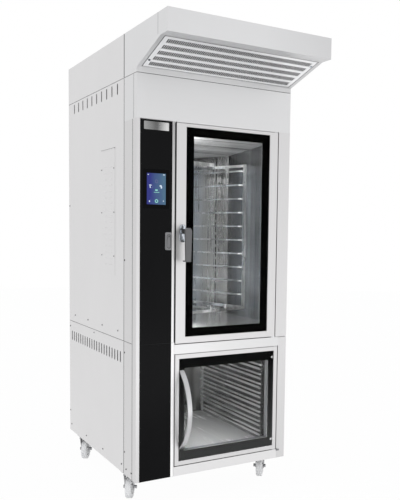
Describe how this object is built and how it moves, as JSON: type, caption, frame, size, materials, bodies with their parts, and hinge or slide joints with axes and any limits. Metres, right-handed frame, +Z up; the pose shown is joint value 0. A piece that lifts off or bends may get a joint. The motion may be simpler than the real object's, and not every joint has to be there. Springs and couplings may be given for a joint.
{
  "type": "rotating rack oven",
  "caption": "Tall rack oven on a proofing cabinet, with glazed doors, a control column, a turning tray rack, a hood with a slotted grille, and casters.",
  "frame": {"origin": "on the floor, under the middle of the whole oven with its hood and rear fittings", "axes": "+Z up, +X to the right of someone who faces the doors, and the doors face -Y"},
  "size_m": [0.9464, 1.522, 2.52],
  "materials": {
    "stainless": "fine brushed stainless sheet",
    "inner_stainless": "smooth stainless sheet",
    "frame_steel": "plain stainless",
    "grille": "punched stainless",
    "zinc": "bright zinc plate",
    "chrome": "polished",
    "rack_wire": "bright stainless",
    "satin_lever": "grey plastic",
    "black_glass": "black back-painted glass",
    "black_enamel": "matt black enamel",
    "door_glass": "clear",
    "bezel_plastic": "gloss black",
    "screen": "lit display",
    "keeper": "satin cast",
    "gasket": "silicone",
    "wool": "mineral wool",
    "duct": "annealed stainless",
    "motor_paint": "semi-gloss paint",
    "heater": "dark oxidised sheath",
    "electrics": "grey moulded housings on a tray",
    "blower_metal": "cast",
    "brass": "turned",
    "screw_steel": "plain",
    "wheel_nylon": "white nylon"
  },
  "bodies": {
    "cabinet": {"carcass": "frame_steel", "caster_plates": "zinc", "proofer_left_panel": "stainless", "proofer_right_panel": "stainless", "back_panel": "stainless", "proofer_front_frame": "stainless", "proofer_liner": "inner_stainless", "proofer_racks": "rack_wire", "humidifier": "inner_stainless", "oven_left_panel": "stainless", "access_cover": "stainless", "oven_right_panel": "stainless", "roof_panel": "stainless", "top_fascia": "stainless", "left_column": "stainless", "right_column": "stainless", "column_glass": "black_glass", "screen_bezel": "bezel_plastic", "touch_screen": "screen", "door_keeper": "keeper", "oven_front_frame": "inner_stainless", "chamber_liner": "inner_stainless", "insulation": "wool", "air_duct_panel": "duct", "fan_motor": "motor_paint", "heating_elements": "heater", "chamber_gasket": "gasket", "rack_gearmotor": "motor_paint", "control_tray": "electrics", "screws": "screw_steel", "door_hinges": "zinc", "hood_rear_box": "stainless", "hood_canopy": "stainless", "hood_filter": "grille", "exhaust_collar": "stainless", "blower_housing": "blower_metal", "service_fittings": "brass"},
    "fan": {"fan_wheel": "inner_stainless"},
    "blower": {"blower_wheel": "blower_metal"},
    "rack": {"rack_drive": "rack_wire", "rack_left_side": "rack_wire", "rack_right_side": "rack_wire", "rack_base": "rack_wire"},
    "oven_door": {"oven_door_frame": "stainless", "oven_door_glass": "door_glass", "oven_door_spacer": "black_enamel", "door_escutcheon": "chrome"},
    "door_lever": {"door_lever": "satin_lever"},
    "proofer_door": {"proofer_door_frame": "stainless", "proofer_door_glass": "door_glass", "proofer_door_spacer": "black_enamel", "proofer_handle": "chrome"},
    "swivel_front_left": {"fork_front_left": "zinc"},
    "roller_front_left": {"wheel_front_left": "wheel_nylon"},
    "swivel_front_right": {"fork_front_right": "zinc"},
    "roller_front_right": {"wheel_front_right": "wheel_nylon"},
    "swivel_rear_left": {"fork_rear_left": "zinc"},
    "roller_rear_left": {"wheel_rear_left": "wheel_nylon"},
    "swivel_rear_right": {"fork_rear_right": "zinc"},
    "roller_rear_right": {"wheel_rear_right": "wheel_nylon"}
  },
  "joints": [
    {"name": "oven_door_hinge", "type": "hinge", "parent": "cabinet", "child": "oven_door", "pos_m": [0.372, -0.39, 1.4415], "axis": [0, 0, 1], "range_deg": [0, 110]},
    {"name": "door_lever_turn", "type": "hinge", "parent": "oven_door", "child": "door_lever", "pos_m": [-0.2042, -0.43, 1.4584], "axis": [0, 1, 0], "range_deg": [0, 90]},
    {"name": "proofer_door_hinge", "type": "hinge", "parent": "cabinet", "child": "proofer_door", "pos_m": [0.392, -0.39, 0.5115], "axis": [0, 0, 1], "range_deg": [0, 110]},
    {"name": "rack_turn", "type": "hinge", "parent": "cabinet", "child": "rack", "pos_m": [0.02, 0.05569, 1.009], "axis": [0, 0, 1], "continuous": true},
    {"name": "fan_spin", "type": "hinge", "parent": "cabinet", "child": "fan", "pos_m": [0.02, 0.616, 1.4565], "axis": [0, 1, 0], "continuous": true},
    {"name": "blower_spin", "type": "hinge", "parent": "cabinet", "child": "blower", "pos_m": [0, 0.302, 2.368], "axis": [0, 0, 1], "continuous": true},
    {"name": "swivel_front_left", "type": "hinge", "parent": "cabinet", "child": "swivel_front_left", "pos_m": [-0.422, -0.209, 0.153], "axis": [0, 0, 1], "continuous": true},
    {"name": "roll_front_left", "type": "hinge", "parent": "swivel_front_left", "child": "roller_front_left", "pos_m": [-0.40566, -0.18384, 0.062], "axis": [0.8387, -0.5446, 0], "continuous": true},
    {"name": "swivel_front_right", "type": "hinge", "parent": "cabinet", "child": "swivel_front_right", "pos_m": [0.422, -0.209, 0.153], "axis": [0, 0, 1], "continuous": true},
    {"name": "roll_front_right", "type": "hinge", "parent": "swivel_front_right", "child": "roller_front_right", "pos_m": [0.40272, -0.23198, 0.062], "axis": [-0.766, 0.6428, 0], "continuous": true},
    {"name": "swivel_rear_left", "type": "hinge", "parent": "cabinet", "child": "swivel_rear_left", "pos_m": [-0.422, 0.551, 0.153], "axis": [0, 0, 1], "continuous": true},
    {"name": "roll_rear_left", "type": "hinge", "parent": "swivel_rear_left", "child": "roller_rear_left", "pos_m": [-0.40566, 0.57616, 0.062], "axis": [0.8387, -0.5446, 0], "continuous": true},
    {"name": "swivel_rear_right", "type": "hinge", "parent": "cabinet", "child": "swivel_rear_right", "pos_m": [0.422, 0.551, 0.153], "axis": [0, 0, 1], "continuous": true},
    {"name": "roll_rear_right", "type": "hinge", "parent": "swivel_rear_right", "child": "roller_rear_right", "pos_m": [0.43834, 0.57616, 0.062], "axis": [0.8387, -0.5446, 0], "continuous": true}
  ]
}
